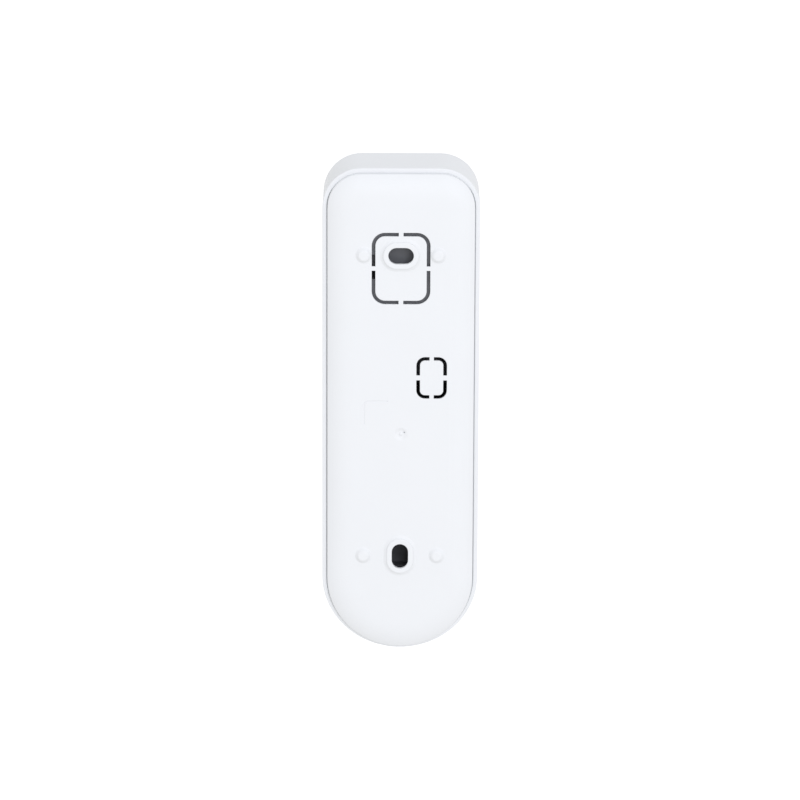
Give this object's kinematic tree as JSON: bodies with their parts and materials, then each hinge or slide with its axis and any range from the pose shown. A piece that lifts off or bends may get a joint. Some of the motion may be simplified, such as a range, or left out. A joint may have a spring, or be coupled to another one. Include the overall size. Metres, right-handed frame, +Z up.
{
  "type": "video doorbell",
  "caption": "Slim white video doorbell with a round push button, camera window and speaker, hooked on a snap-in wall plate with break-away knock-outs.",
  "frame": {"origin": "centre of the wall contact plane, the plane of the plate's pads and slot bosses, at mid-height", "axes": "+X to the right seen from the front, +Y into the wall, +Z up; the front faces -Y"},
  "size_m": [0.044, 0.0295, 0.1392],
  "materials": {
    "white_shell": "fine satin moulded",
    "dark_housing": "fine spark texture",
    "gloss_window": "polished",
    "black_plastic": "satin",
    "clear_glass": "polished",
    "coated_lens": "coated",
    "sensor_die": "polished",
    "diffuser": "translucent satin",
    "fresnel_lens": "milky satin",
    "black_rubber": "matte",
    "silicone": "translucent matte",
    "circuit_board": "solder mask",
    "chip_epoxy": "moulded epoxy",
    "led_package": "satin",
    "steel": "plated",
    "brass": "machined",
    "flex_circuit": "satin film",
    "acoustic_cloth": "fine weave"
  },
  "bodies": {
    "wall_plate": {"mounting_plate": "white_shell"},
    "housing": {"front_cover": "white_shell", "rear_cover": "dark_housing", "lens_bezel": "dark_housing", "camera_window": "gloss_window", "terminal_block": "black_plastic", "lens_barrel": "black_plastic", "lens_holder": "black_plastic", "speaker_frame": "black_plastic", "button_switch": "black_plastic", "lens_cover_glass": "clear_glass", "lens_element": "coated_lens", "image_sensor": "sensor_die", "light_sensor": "sensor_die", "button_light_ring": "diffuser", "pir_lens": "fresnel_lens", "housing_seal": "black_rubber", "microphone_seal": "black_rubber", "main_board": "circuit_board", "camera_board": "circuit_board", "infrared_board": "circuit_board", "processor": "chip_epoxy", "memory_chip": "chip_epoxy", "power_inductor": "chip_epoxy", "backup_capacitor": "chip_epoxy", "tamper_switch": "chip_epoxy", "infrared_led_1": "led_package", "infrared_led_2": "led_package", "infrared_led_3": "led_package", "infrared_led_4": "led_package", "status_led_1": "led_package", "status_led_2": "led_package", "status_led_3": "led_package", "status_led_4": "led_package", "housing_screw_1": "steel", "housing_screw_2": "steel", "housing_screw_3": "steel", "housing_screw_4": "steel", "board_screw_1": "steel", "board_screw_2": "steel", "terminal_screw_1": "steel", "terminal_screw_2": "steel", "radio_shield": "steel", "pir_sensor": "steel", "microphone": "steel", "speaker_magnet": "steel", "lock_insert": "brass", "antenna": "brass", "camera_flex": "flex_circuit", "speaker_mesh": "acoustic_cloth", "speaker_diaphragm": "acoustic_cloth"},
    "push_button": {"button_cap": "white_shell", "button_return_pad": "silicone"},
    "switch_actuator": {"switch_plunger": "led_package"},
    "tamper_actuator": {"tamper_plunger": "white_shell", "tamper_spring": "steel"},
    "lock_screw": {"security_screw": "steel"}
  },
  "joints": [
    {"name": "housing_tilt", "type": "hinge", "parent": "wall_plate", "child": "housing", "pos_m": [0, -0.0046, 0.0685], "axis": [-1, 0, 0], "range_deg": [0, 20]},
    {"name": "button_press", "type": "slide", "parent": "housing", "child": "push_button", "axis": [0, 1, 0], "range_m": [0, 0.0008], "stiffness_N_per_m": 1500, "springref_m": -0.0005},
    {"name": "switch_travel", "type": "slide", "parent": "housing", "child": "switch_actuator", "axis": [0, 1, 0], "range_m": [0, 0.0004]},
    {"name": "tamper_travel", "type": "slide", "parent": "housing", "child": "tamper_actuator", "axis": [0, 1, 0], "range_m": [0, 0.002]},
    {"name": "lock_screw_travel", "type": "slide", "parent": "housing", "child": "lock_screw", "axis": [0, 0, 1], "range_m": [0, 0.003]}
  ],
  "couplings": [
    {"joint": "switch_travel", "follows": "button_press", "ratio": 0.5},
    {"joint": "tamper_travel", "follows": "housing_tilt", "m_per_rad": 0.0057}
  ]
}
